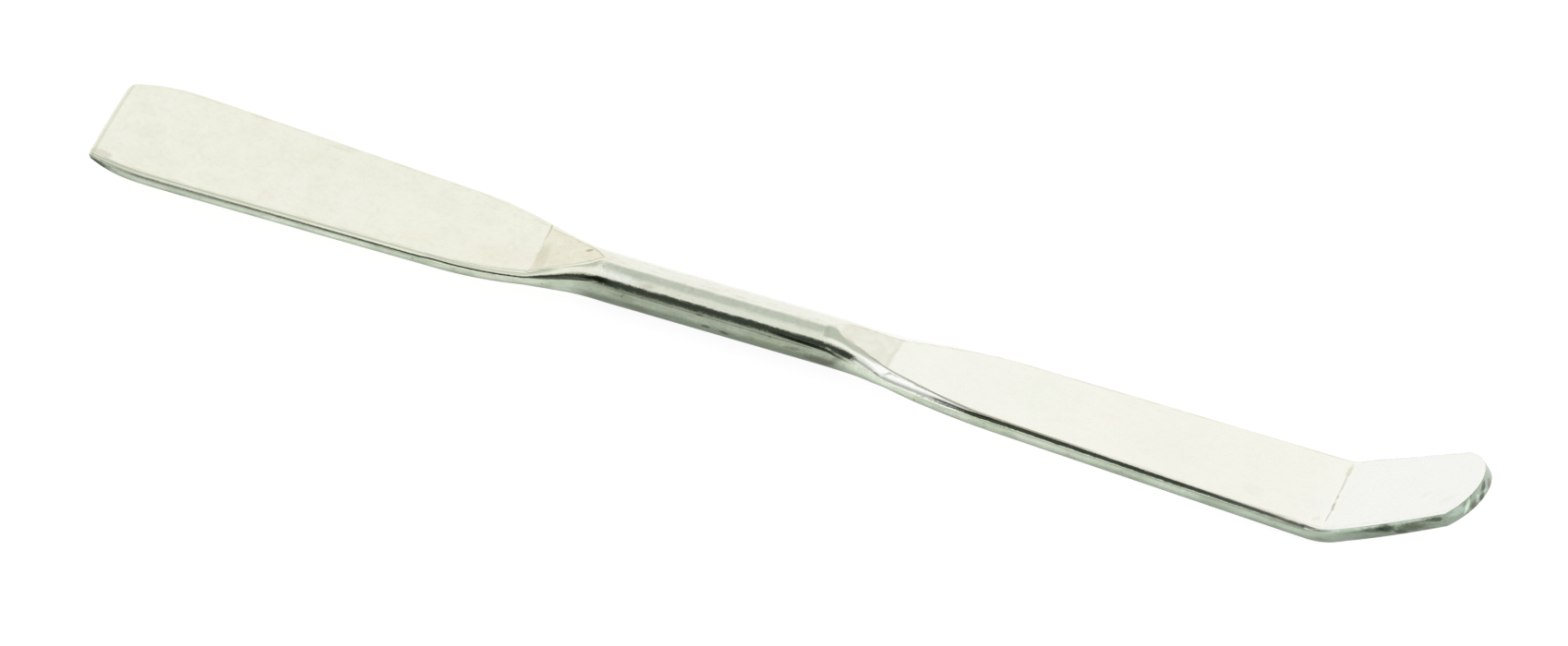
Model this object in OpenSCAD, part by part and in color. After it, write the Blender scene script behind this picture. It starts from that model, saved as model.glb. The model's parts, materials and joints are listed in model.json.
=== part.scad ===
// Double-ended lab spatula, forged in one piece from a round rod.
// The length runs along +X: first the square blade, then the rod that is held, then the
// blade whose ground round tip is bent upwards. +Z is up, as it lies at rest on a table.

/* [Rod] */
// Diameter of the round rod that both blades are forged from
rod_d = 4.1; // [3:0.05:5.5]
// Length of the stretch that stays round
rod_l = 20.7; // [10:0.1:60]
// How far the wide rounded edges of both ramps bulge past the ramps' flat faces
ramp_bulge = 1.05; // [0.6:0.01:1.5]

/* [Square blade] */
// Length from the cut end to the foot of the ramp
square_l = 37.3; // [25:0.1:60]
// Length of the ramp that rises from the blade to the rod
square_ramp_l = 5.4; // [3:0.1:9]
// Width at the widest place
square_w = 10.8; // [7:0.1:13]
// Width at the cut end
square_end_w = 8.9; // [6.5:0.1:10]
// How far the cut end is set towards the front edge
square_end_offset = 0.3; // [0:0.05:0.6]
// Length over which the width falls to that of the cut end
square_narrowing_l = 5.2; // [3:0.1:10]
// Width where the shoulder starts
square_neck_w = 8.7; // [6:0.1:11]
// Distance from the start of the shoulder to the foot of the ramp
square_neck_back = 3.1; // [1:0.1:6]
// Length of the shoulder, in which the blade narrows to the rod
square_shoulder_l = 7.3; // [5:0.1:9]
// Thickness of the blade
square_t = 1.3; // [0.8:0.01:2]
// Thickness at the cut end, where the underside curves up
square_end_t = 0.64; // [0.4:0.01:0.8]
// Length over which the underside curves up
square_thinning_l = 3.4; // [1.5:0.1:8]
// How far the rounded edges bulge past the flat faces
square_bulge = 0.48; // [0.2:0.01:0.8]
// The same at the foot of the ramp
square_foot_bulge = 0.7; // [0.2:0.01:1.4]
// Radius of the back corner of the cut end, seen from above
back_corner_r = 0.5; // [0.2:0.05:1.5]
// Radius of the front corner of the cut end, seen from above
front_corner_r = 0.15; // [0.05:0.05:1.5]
// How far the middle of the cut end stands out past its corners
square_crown = 0.08; // [0.02:0.01:0.8]
// Angle by which the blade leans up from the rod
square_lean = 1.8; // [0:0.1:4]

/* [Bent blade] */
// Length of the ramp that falls from the rod to the blade
bent_ramp_l = 4.9; // [3:0.1:9]
// Length from the foot of the ramp to the bend
bent_l = 38.6; // [25:0.1:60]
// Distance from the end of the rod to the start of the shoulder
bent_shoulder_in = 1.4; // [1:0.1:4]
// Length of the shoulder, in which the rod widens to the blade
bent_shoulder_l = 7.3; // [5:0.1:9]
// Width where the shoulder ends
bent_neck_w = 7.1; // [5:0.1:8]
// Width at the bend
bent_w = 8.9; // [7:0.1:11]
// Thickness of the blade and its tip
bent_t = 1.68; // [1:0.01:2.4]
// How far the rounded edges bulge past the flat faces
bent_bulge = 0.4; // [0.2:0.01:0.8]
// Length past the foot of the ramp over which the edges narrow to that bulge
bent_edge_l = 8.7; // [3:0.1:12]
// Angle by which the blade leans down from the rod
bent_lean = 2.1; // [0:0.1:4]

/* [Tip] */
// Length from the bend to the end of the tip, along the metal
tip_l = 14.9; // [9:0.05:20]
// Angle by which the tip is bent up from the blade
tip_angle = 30; // [10:0.1:50]
// Radius of the bend, at the middle of the thickness
bend_r = 4.4; // [2:0.1:10]
// How much the back edge comes in towards the end of the tip
tip_taper = 0.55; // [0:0.05:1.5]
// How far the front edge swells along the tip
tip_swell = 0.22; // [0:0.01:0.6]
// Length of that swell from the start of the bend
tip_swell_l = 14; // [10:0.1:18]
// Radius of the round end, square to the top face
tip_r = 4.5; // [4.3:0.05:6]
// How far the centre of the round end is set towards the front edge
tip_offset = 0.75; // [0:0.05:1]
// Angle at which the ground end slopes in under the top face
end_draft = 19.8; // [0:0.2:25]
// Angle at which the ground end leans towards the back edge under the top face
side_draft = 22.8; // [0:0.2:25]
// Angle at which the ground front edge slopes in under the top face
front_draft = 18; // [0:1:25]
// Length from the start of the bend over which the edges turn from forged to ground
ground_in = 4; // [1:0.5:8]
// Bulge that is left on the ground edges of the tip
tip_bulge = 0.2; // [0.1:0.01:0.5]

/* [Hidden] */

// Length to either side over which the plan's corners are rounded: the square blade's
// neck, the shoulders' ends at the rod, and the bent blade's neck
square_neck_ease = 4;
rod_ease = 1.4;
bent_neck_ease = 5;
// The same for both ends of the ramps
ramp_ease = 0.35;
// Samples on either side in one such rounding
EASE_N = 4;
// Steps across a face and around an edge of a section, and around a corner of the plan
FACE_N = 12;
EDGE_N = 8;
CORNER_N = 5;
// Least share of the half-width that counts as face, on the rod
FACE_SHARE = 0.3;

rod_r = rod_d / 2;

// Stations along the metal, measured from the cut end
neck_s = square_l - square_neck_back;
shoulder_s = neck_s + square_shoulder_l;
rod_start = square_l + square_ramp_l;
rod_end = rod_start + rod_l;
bent_shoulder_s = rod_end + bent_shoulder_in;
bent_neck_s = bent_shoulder_s + bent_shoulder_l;
bent_foot = rod_end + bent_ramp_l;
bend_s = bent_foot + bent_l;
bend_half = bend_r * tip_angle * PI / 360;
bend_in = bend_s - bend_half;
tip_s = bend_s + bend_half;
total_s = bend_s + tip_l;
round_s = total_s - tip_r;

// Values by station: half-width, its rounding, half-thickness, bulge, and lean of the route
WIDTHS = [
    [0, square_w / 2], [square_narrowing_l, square_w / 2], [neck_s, square_neck_w / 2],
    [shoulder_s, rod_r], [bent_shoulder_s, rod_r], [bent_neck_s, bent_neck_w / 2],
    [bend_s, bent_w / 2]
];
EASES = [
    [neck_s, square_neck_ease], [shoulder_s, rod_ease],
    [bent_shoulder_s, rod_ease], [bent_neck_s, bent_neck_ease]
];
HEIGHTS = [
    [square_l, square_t / 2], [rod_start, rod_r], [rod_end, rod_r], [bent_foot, bent_t / 2]
];
BULGES = [
    [neck_s - square_neck_ease, square_bulge], [square_l, square_foot_bulge],
    [rod_start, ramp_bulge], [bent_foot, ramp_bulge], [bent_foot + bent_edge_l, bent_bulge],
    [bend_in, bent_bulge], [bend_in + ground_in, tip_bulge]
];
LEANS = [
    [rod_start, -square_lean], [rod_start + rod_ease, 0], [rod_end - rod_ease, 0],
    [rod_end, -bent_lean], [bend_in, -bent_lean], [tip_s, tip_angle - bent_lean]
];

function sum(v, i = 0, t = 0) = i < len(v) ? sum(v, i + 1, t + v[i]) : t;
// A table's value at a station, with its corners rounded over the length q on either side
function eased(s, table, q) =
    sum([for (k = [-EASE_N:EASE_N]) lookup(s + k * q / EASE_N, table)]) / (2 * EASE_N + 1);
// 1 at the cut end, falling to 0 along a parabola over a length
function fade(s, length) = pow(max(0, 1 - s / length), 2);
// 0 up to the bend, 1 where the tip's round end starts, and rising past it
function along_tip(s) = max(0, (s - bend_in) / (round_s - bend_in));
// How far the front edge swells: a parabola that falls below the blade's width past its length
function swell(s) = let (a = max(0, s - bend_in) / tip_swell_l) 4 * tip_swell * a * (1 - a);
// 0 on the forged edges, 1 where they are fully ground
function ground(s) = lookup(s, [[bend_in, 0], [bend_in + ground_in, 1]]);
// What a round corner of the cut end takes off the half-width
function corner(s, r) = s < r ? r - sqrt(r * r - (r - s) * (r - s)) : 0;

// Half-width of the whole section; side is 1 at the back and -1 at the front
function half_w(s, side) =
    eased(s, WIDTHS, lookup(s, EASES)) - corner(s, side > 0 ? back_corner_r : front_corner_r)
    - ((square_w - square_end_w) / 2 + side * square_end_offset) * fade(s, square_narrowing_l)
    + (side > 0 ? -tip_taper * along_tip(s) : swell(s));
// What the curved underside takes off the half-thickness and lifts the middle by
function lift(s) = (square_t - square_end_t) / 2 * fade(s, square_thinning_l);
function half_t(s) = min(rod_r, eased(s, HEIGHTS, ramp_ease)) - lift(s);
// The rod keeps its own round where a ramp only cuts it, and becomes a blade's edge lower down
function bulge(s, side) =
    let (h = half_t(s), cut = rod_r - sqrt(max(0, rod_r * rod_r - h * h)))
    min(half_w(s, side), pow(pow(cut, 4) + pow(lookup(s, BULGES), 4), 1 / 4));

// Radius of an edge's arc, from the half-thickness and the bulge. A bulge beyond the
// half-thickness stretches a half round outwards, by this factor
function arc_r(h, b) = b > h ? h : (h * h + b * b) / (2 * b);
function stretch(h, b) = max(1, b / h);
// Height of the surface at a distance from the middle, on the face or on an edge's arc
function height(y, w, h, b) =
    let (r = arc_r(h, b), d = r - (w - y) / stretch(h, b))
    d <= 0 ? h : min(h, sqrt(max(0, r * r - d * d)));
// Points of an edge as [outward, up], from the face's rim on top to the one underneath
function edge(w, h, b) =
    let (r = arc_r(h, b), q = stretch(h, b), rim = max(w - b, FACE_SHARE * w),
        a = acos(min(1, 1 - (w - rim) / q / r)))
    [for (k = [0:EDGE_N]) let (t = a - 2 * a * k / EDGE_N) [w - q * r * (1 - cos(t)), r * sin(t)]];

// A section's outline as [y, z]: over the top to the back, down, underneath, and up the front
function section(s) =
    let (h = half_t(s), lean_in = tan(front_draft) * ground(s),
        wb = half_w(s, 1), bb = bulge(s, 1), back = edge(wb, h, bb),
        wf = half_w(s, -1), bf = bulge(s, -1),
        front = [for (p = edge(wf, h, bf)) [-p[0] - lean_in * p[1], p[1]]],
        shares = [for (k = [1:FACE_N - 1]) (1 - cos(180 * k / FACE_N)) / 2],
        above = [for (t = shares) front[0][0] + (back[0][0] - front[0][0]) * t],
        below = [for (t = shares) front[EDGE_N][0] + (back[EDGE_N][0] - front[EDGE_N][0]) * t],
        top = [for (y = above) [y, y > 0 ? height(y, wb, h, bb) : height(-y, wf, h, bf)]])
    concat(top, back, [for (k = [FACE_N - 2:-1:0]) [below[k], -top[k][1]]],
        [for (k = [EDGE_N:-1:0]) front[k]]);

// Where the metal starts and ends at the point [y, z] of a section
function start_at(y) = -square_crown * (1 - pow(2 * y / square_end_w, 2));
function end_at(y, z) =
    let (depth = bent_t / 2 - z, d = y + tip_offset - depth * tan(side_draft))
    round_s - depth * tan(end_draft) + sqrt(max(0, tip_r * tip_r - d * d));
// A station shifted so that the first section lies on the cut end and the last on the tip's
function shifted(s, y, z) =
    s < square_narrowing_l ? s + start_at(y) * (1 - s / square_narrowing_l) :
    s > tip_s ? tip_s + (s - tip_s) * (end_at(y, z) - tip_s) / (total_s - tip_s) : s;

// Stations of the sections, closer where the shape changes faster
function run(a, b, n) = [for (k = [0:n - 1]) a + (b - a) * k / n];
STATIONS = concat(
    [for (k = [0:CORNER_N - 1]) back_corner_r * (1 - cos(90 * k / CORNER_N))],
    run(back_corner_r, square_narrowing_l, 8),
    run(square_narrowing_l, neck_s - square_neck_ease, 6),
    run(neck_s - square_neck_ease, square_l - ramp_ease, 10),
    run(square_l - ramp_ease, rod_start + ramp_ease, 20),
    run(rod_start + ramp_ease, rod_end - ramp_ease, 8),
    run(rod_end - ramp_ease, bent_foot + ramp_ease, 20),
    run(bent_foot + ramp_ease, bent_neck_s + bent_neck_ease, 10),
    run(bent_neck_s + bent_neck_ease, bend_in, 6),
    run(bend_in, tip_s, 8),
    run(tip_s, total_s, 8),
    [total_s]
);
LAST = len(STATIONS) - 1;

// The route of the metal's middle in X and Z, one point for each station
ROUTE = [for (i = 0, p = [0, 0]; i <= LAST; i = i + 1,
    p = i > LAST ? p : let (a = lookup((STATIONS[i - 1] + STATIONS[i]) / 2, LEANS),
        ds = STATIONS[i] - STATIONS[i - 1]) p + ds * [cos(a), sin(a)]) p];

SECTIONS = [for (s = STATIONS) section(s)];
SIZE = len(SECTIONS[0]);
function point(i, p) =
    let (s = STATIONS[i], a = lookup(s, LEANS), z = p[1] + lift(s), ds = shifted(s, p[0], p[1]) - s)
    [ROUTE[i][0] + ds * cos(a) - z * sin(a), p[0], ROUTE[i][1] + ds * sin(a) + z * cos(a)];
POINTS = [for (i = [0:LAST]) for (p = SECTIONS[i]) point(i, p)];

// The lowest point of each section, and the balance point's X, from the sections' areas
LOWEST = [for (i = [0:LAST]) point(i, [0, -half_t(STATIONS[i])])];
function area(v) =
    sum([for (k = [0:SIZE - 1]) let (a = v[k], b = v[(k + 1) % SIZE]) (a[1] * b[0] - a[0] * b[1]) / 2]);
WEIGHTS = [for (i = [0:LAST])
    area(SECTIONS[i]) * (STATIONS[min(LAST, i + 1)] - STATIONS[max(0, i - 1)])];
balance_x = WEIGHTS * [for (p = ROUTE) p[0]] / sum(WEIGHTS);
// At rest it stands on the two sections that carry the lowest line under the balance point
LEFT = [for (p = LOWEST) if (p[0] < balance_x) p];
RIGHT = [for (p = LOWEST) if (p[0] > balance_x) p];
SUPPORTS = [for (a = LEFT, b = RIGHT)
    let (slope = (b[2] - a[2]) / (b[0] - a[0])) [a[2] + slope * (balance_x - a[0]), slope]];
lowest_line = min([for (v = SUPPORTS) v[0]]);
rest_tilt = atan([for (v = SUPPORTS) if (v[0] == lowest_line) v[1]][0]);

// The origin is under the middle of the whole, on the table
RESTED = [for (p = POINTS) [p[0] * cos(rest_tilt) + p[2] * sin(rest_tilt), p[1],
    p[2] * cos(rest_tilt) - p[0] * sin(rest_tilt)]];
function middle(v) = (min(v) + max(v)) / 2;
ORIGIN = [middle([for (p = RESTED) p[0]]), middle([for (p = RESTED) p[1]]),
    min([for (p = RESTED) p[2]])];

// Quads between neighbouring sections, and strips that close the first and the last one
function index(i, k) = i * SIZE + (k + SIZE) % SIZE;
front_k = 2 * FACE_N - 1 + EDGE_N + EDGE_N / 2;
function strip(i) = [for (j = [0:FACE_N + EDGE_N - 1])
    [index(i, front_k + j), index(i, front_k + j + 1), index(i, front_k - j - 1 + SIZE),
        index(i, front_k - j + SIZE)]];
function clean(face) = [for (k = [0:len(face) - 1]) if (face[k] != face[(k + 1) % len(face)]) face[k]];
function reversed(face) = [for (k = [len(face) - 1:-1:0]) face[k]];
FACES = concat(
    [for (i = [0:LAST - 1]) for (k = [0:SIZE - 1])
        [index(i, k), index(i, k + 1), index(i + 1, k + 1), index(i + 1, k)]],
    [for (f = strip(0)) reversed(clean(f))],
    [for (f = strip(LAST)) clean(f)]
);

module spatula() {
    color("silver") translate(-ORIGIN) polyhedron([for (p = RESTED) p], FACES);
}

spatula();
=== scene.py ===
"""Double-ended lab spatula, forged from one round rod: its finished metal, stage and camera.

The script is laid out as an add-on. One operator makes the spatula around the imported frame, and
one makes the stage. Lengths are metres, and sections are stations along the metal from the cut end.
"""

import json
import math
from collections import namedtuple

import bpy
from bpy.props import FloatProperty, FloatVectorProperty, IntProperty, PointerProperty
from mathutils import Matrix, Vector


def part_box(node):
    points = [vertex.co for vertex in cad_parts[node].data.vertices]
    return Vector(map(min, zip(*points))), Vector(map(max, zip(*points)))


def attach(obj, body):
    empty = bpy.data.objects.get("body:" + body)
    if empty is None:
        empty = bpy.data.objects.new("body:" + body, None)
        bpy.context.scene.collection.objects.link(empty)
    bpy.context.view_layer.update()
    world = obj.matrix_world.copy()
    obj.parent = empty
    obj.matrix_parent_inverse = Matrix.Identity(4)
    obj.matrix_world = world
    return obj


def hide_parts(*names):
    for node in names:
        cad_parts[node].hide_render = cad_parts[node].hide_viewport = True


bl_info = {
    "name": "Lab Spatula",
    "version": (1, 0, 0),
    "blender": (4, 5, 0),
    "location": "View3D > Sidebar > Spatula",
    "description": "Builds a forged double-ended lab spatula with worn metal, and a plain studio",
    "category": "Add Mesh",
}

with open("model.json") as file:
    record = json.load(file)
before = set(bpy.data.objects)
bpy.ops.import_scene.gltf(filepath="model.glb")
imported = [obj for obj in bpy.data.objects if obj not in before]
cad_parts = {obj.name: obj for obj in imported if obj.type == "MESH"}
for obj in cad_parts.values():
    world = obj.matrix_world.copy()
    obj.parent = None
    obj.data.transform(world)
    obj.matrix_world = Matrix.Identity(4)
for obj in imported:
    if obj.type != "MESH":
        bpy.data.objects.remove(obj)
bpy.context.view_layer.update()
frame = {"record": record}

MM = 0.001
DEG = math.pi / 180


# ---------------------------------------------------------------- nodes written as expressions

class Value:
    """A socket of a node tree. Python's operators on it add Math nodes."""

    def __init__(self, nodes, socket):
        self.nodes = nodes
        self.socket = socket

    def math(self, operation, *others):
        return self.nodes.math(operation, self, *others)

    def __getitem__(self, name):
        return Value(self.nodes, self.socket.node.outputs[name])

    def __add__(self, other):
        return self.math("ADD", other)

    def __sub__(self, other):
        return self.math("SUBTRACT", other)

    def __rsub__(self, other):
        return self.nodes.math("SUBTRACT", other, self)

    def __mul__(self, other):
        return self.math("MULTIPLY", other)

    def __truediv__(self, other):
        return self.math("DIVIDE", other)

    def __rtruediv__(self, other):
        return self.nodes.math("DIVIDE", other, self)

    def __pow__(self, other):
        return self.math("POWER", other)

    def __mod__(self, other):
        return self.math("MODULO", other)

    def __neg__(self):
        return self.math("MULTIPLY", -1)

    def __gt__(self, other):
        return self.math("GREATER_THAN", other)

    __radd__ = __add__
    __rmul__ = __mul__

    def at_least(self, other):
        return self.math("MAXIMUM", other)

    def at_most(self, other):
        return self.math("MINIMUM", other)

    def clamp(self, low=0, high=1):
        return self.at_least(low).at_most(high)

    def sqrt(self):
        return self.at_least(0).math("SQRT")

    def sin(self):
        return self.math("SINE")

    def cos(self):
        return self.math("COSINE")

    def floor(self):
        return self.math("FLOOR")

    def rise(self, start, end):
        """0 up to start, 1 from end on, with a smooth step between them."""
        t = ((self - start) / (end - start)).clamp()
        return t * t * (3 - 2 * t)

    def within(self, start, end, soft):
        """1 between start and end, fading to 0 over soft on either side."""
        return self.rise(start - soft, start) * (1 - self.rise(end, end + soft))


class Nodes:
    """Adds nodes to one tree."""

    def __init__(self, tree):
        self.tree = tree

    def node(self, kind, settings=None, sockets=None, output=0):
        """Adds a node: its settings first, then the values or links of its sockets."""
        made = self.tree.nodes.new(kind)
        for name, value in (settings or {}).items():
            if name == "stops":
                self.set_stops(made.color_ramp, value)
            else:
                setattr(made, name, value)
        for name, value in (sockets or {}).items():
            socket = made.inputs[name]
            if isinstance(value, Value):
                self.tree.links.new(value.socket, socket)
            else:
                socket.default_value = value
        return Value(self, made.outputs[output]) if made.outputs else made

    @staticmethod
    def set_stops(ramp, stops):
        while len(ramp.elements) < len(stops):
            ramp.elements.new(1)
        for element, (place, colour) in zip(ramp.elements, stops):
            element.position = place
            element.color = (*colour, 1)

    def math(self, operation, *values):
        return self.node("ShaderNodeMath", {"operation": operation}, dict(enumerate(values)))

    def vector(self, x, y, z):
        return self.node("ShaderNodeCombineXYZ", {}, {0: x, 1: y, 2: z})

    def mix(self, factor, a, b):
        """Mixes two colours."""
        return self.node("ShaderNodeMix", {"data_type": "RGBA"}, {0: factor, 6: a, 7: b}, 2)

    def tint(self, base, share, colour):
        """Multiplies a share of a colour by another one."""
        return self.node("ShaderNodeMix", {"data_type": "RGBA", "blend_type": "MULTIPLY"},
                         {0: share, 6: base, 7: (*colour, 1)}, 2)

    def noise(self, place, scale, detail=2, seed=0):
        """Soft noise from about 0.2 to 0.8, with scale as its waves per unit of place."""
        return self.node("ShaderNodeTexNoise", {"noise_dimensions": "4D"},
                         {"Vector": place, "W": seed, "Scale": scale, "Detail": detail})

    def length(self, vector):
        return self.node("ShaderNodeVectorMath", {"operation": "LENGTH"}, {0: vector}, "Value")


# ---------------------------------------------------------------- settings

def length(name, millimetres, description):
    return FloatProperty(name=name, default=millimetres * MM, unit="LENGTH", description=description)


def angle(name, degrees, description):
    return FloatProperty(name=name, default=degrees * DEG, subtype="ANGLE", description=description)


def amount(name, value, description):
    return FloatProperty(name=name, default=value, description=description)


def colour(name, value, description):
    return FloatVectorProperty(name=name, default=value, size=3, subtype="COLOR", min=0, max=1,
                               description=description)


class SpatulaSizes(bpy.types.PropertyGroup):
    """The sizes that give the spatula its shape."""
    rod_d: length("Rod diameter", 4.1, "Diameter of the round rod")
    rod_l: length("Rod length", 20.7, "Length that stays round")
    ramp_bulge: length("Ramp bulge", 1.05, "How far the ramps' rounded edges pass their flats")
    rod_ease: length("Rod ease", 1.4, "Rounding of the shoulders where they meet the rod")
    square_l: length("Square blade length", 37.3, "From the cut end to the foot of the ramp")
    square_ramp_l: length("Square ramp", 5.4, "Length of the ramp from the square blade to the rod")
    square_w: length("Square blade width", 10.8, "Width at the widest place")
    square_end_w: length("Cut end width", 8.9, "Width at the cut end")
    square_end_offset: length("Cut end offset", 0.3, "How far the cut end is set to the front")
    square_narrowing_l: length("Narrowing", 5.2, "Length over which the width falls to the cut end's")
    square_neck_w: length("Square neck width", 8.7, "Width where the shoulder starts")
    square_neck_back: length("Square neck", 3.1, "From the start of the shoulder to the ramp's foot")
    square_neck_ease: length("Square neck ease", 4, "Rounding where the shoulder starts")
    square_shoulder_l: length("Square shoulder", 7.3, "Length in which the blade narrows to the rod")
    square_t: length("Square blade thickness", 1.3, "Thickness of the square blade")
    square_end_t: length("Cut end thickness", 0.64, "Thickness at the cut end")
    square_thinning_l: length("Thinning", 3.4, "Length over which the underside curves up")
    square_bulge: length("Square blade bulge", 0.48, "How far the rounded edges pass the flats")
    square_foot_bulge: length("Square foot bulge", 0.7, "The same at the foot of the ramp")
    back_corner_r: length("Back corner", 0.5, "Radius of the back corner of the cut end")
    front_corner_r: length("Front corner", 0.15, "Radius of the front corner of the cut end")
    square_crown: length("Cut end crown", 0.08, "How far the cut end's middle stands out")
    square_lean: angle("Square lean", 1.8, "Angle by which the square blade leans up")
    bent_ramp_l: length("Bent ramp", 4.9, "Length of the ramp from the rod to the bent blade")
    bent_l: length("Bent blade length", 38.6, "From the foot of the ramp to the bend")
    bent_shoulder_in: length("Bent shoulder start", 1.4, "From the rod's end to the shoulder")
    bent_shoulder_l: length("Bent shoulder", 7.3, "Length in which the rod widens to the blade")
    bent_neck_w: length("Bent neck width", 7.1, "Width where the shoulder ends")
    bent_neck_ease: length("Bent neck ease", 5, "Rounding where the shoulder ends")
    bent_w: length("Bent blade width", 8.9, "Width at the bend")
    bent_t: length("Bent blade thickness", 1.68, "Thickness of the bent blade and its tip")
    bent_bulge: length("Bent blade bulge", 0.4, "How far the rounded edges pass the flats")
    bent_edge_l: length("Bent edge fade", 8.7, "Length past the ramp in which the edges narrow")
    bent_lean: angle("Bent lean", 2.1, "Angle by which the bent blade leans down")
    ramp_ease: length("Ramp ease", 0.35, "Rounding of both ends of the ramps")
    tip_l: length("Tip length", 14.9, "From the bend to the end, along the metal")
    tip_angle: angle("Tip angle", 30, "Angle by which the tip is bent up")
    bend_r: length("Bend radius", 4.4, "Radius of the bend at the middle of the thickness")
    tip_taper: length("Tip taper", 0.55, "How much the back edge comes in along the tip")
    tip_swell: length("Tip swell", 0.22, "How far the front edge swells along the tip")
    tip_swell_l: length("Tip swell length", 14, "Length of that swell from the bend's start")
    tip_r: length("Tip radius", 4.5, "Radius of the round end")
    tip_offset: length("Tip offset", 0.75, "How far the round end's centre is set to the front")
    end_draft: angle("End draft", 19.8, "Angle at which the ground end slopes in")
    side_draft: angle("Side draft", 22.8, "Angle at which the ground end leans to the back")
    front_draft: angle("Front draft", 18, "Angle at which the ground front edge slopes in")
    ground_in: length("Grinding fade", 4, "Length over which forged edges turn to ground ones")
    tip_bulge: length("Tip bulge", 0.2, "Bulge left on the ground edges")
    cut_round: length("Cut end rounding", 0.07, "Rounding of the cut end's long rims")
    tip_round: length("Tip rounding", 0.05, "Rounding of the ground end's rims")


class SpatulaMesh(bpy.types.PropertyGroup):
    """How finely the spatula is divided."""
    stations: IntProperty(name="Stations", default=700, description="Sections along the metal")
    face_steps: IntProperty(name="Face steps", default=36, description="Steps across a flat face")
    edge_steps: IntProperty(name="Edge steps", default=22, description="Steps around an edge")
    end_steps: IntProperty(name="End steps", default=8, description="Steps that close each end")
    closeness: amount("Closeness", 0.85, "How much closer the sections lie at the ends")


class SpatulaMetal(bpy.types.PropertyGroup):
    """The metal's colours and polish."""
    square_nickel: colour("Square nickel", (0.875, 0.88, 0.775), "Flats of the square blade")
    rod_nickel: colour("Rod nickel", (0.875, 0.885, 0.81), "Upper half of the rod")
    shoulder_nickel: colour("Shoulder nickel", (0.915, 0.92, 0.85), "Flats past the second ramp")
    bent_nickel: colour("Bent nickel", (0.91, 0.91, 0.835), "Flats of the bent blade")
    tip_nickel: colour("Tip nickel", (0.925, 0.93, 0.895), "Flats of the tip")
    # painted shade, partly: the colours from here to the rod's underside are darker than the flats, darkest
    # on the rod's underside, so that the sides show a shaded reflection
    side_light: colour("Side, light", (0.66, 0.725, 0.6), "Cleanest sides of the blades")
    side: colour("Side", (0.61, 0.67, 0.545), "Dull sides of the blades")
    side_dark: colour("Side, dark", (0.46, 0.53, 0.43), "Sides near both ends")
    ground: colour("Ground", (0.38, 0.45, 0.36), "Ground edge and end of the tip")
    rod_side: colour("Rod side", (0.36, 0.4, 0.315), "Dull side of the rod")
    rod_underside: colour("Rod underside", (0.23, 0.27, 0.205), "Dull underside of the rod")
    flat_roughness: amount("Flat roughness", 0.26, "Roughness of the forged flats")
    polished_roughness: amount("Polished roughness", 0.07, "Roughness of the rod and the edges")
    unevenness: length("Unevenness", 0.012, "Depth of the surface's waves and scratches")
    edge_l: length("Edge length", 1.8, "Length of the arc around a blade's edge")


class SpatulaStudio(bpy.types.PropertyGroup):
    """The camera and the light around the spatula."""
    azimuth: angle("Azimuth", 23.676, "Camera's turn to the right from straight in front")
    elevation: angle("Elevation", 44.344, "Camera's angle above the table")
    roll: angle("Roll", -0.639, "Camera's turn about its own axis")
    view_w: length("View width", 125.558, "Width of the table that the camera sees")
    view_x: length("View shift right", -1.241, "Place of the view's middle, to the right")
    view_y: length("View shift up", 2.282, "Place of the view's middle, upwards")
    distance: length("Camera distance", 500, "Distance from the spatula to the camera")
    floor_w: length("Floor width", 4000, "Width of the pale floor")
    shadow: amount("Shadow", 0.15, "Share of the floor's light that the spatula can shade")


# ---------------------------------------------------------------- the shape

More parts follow.
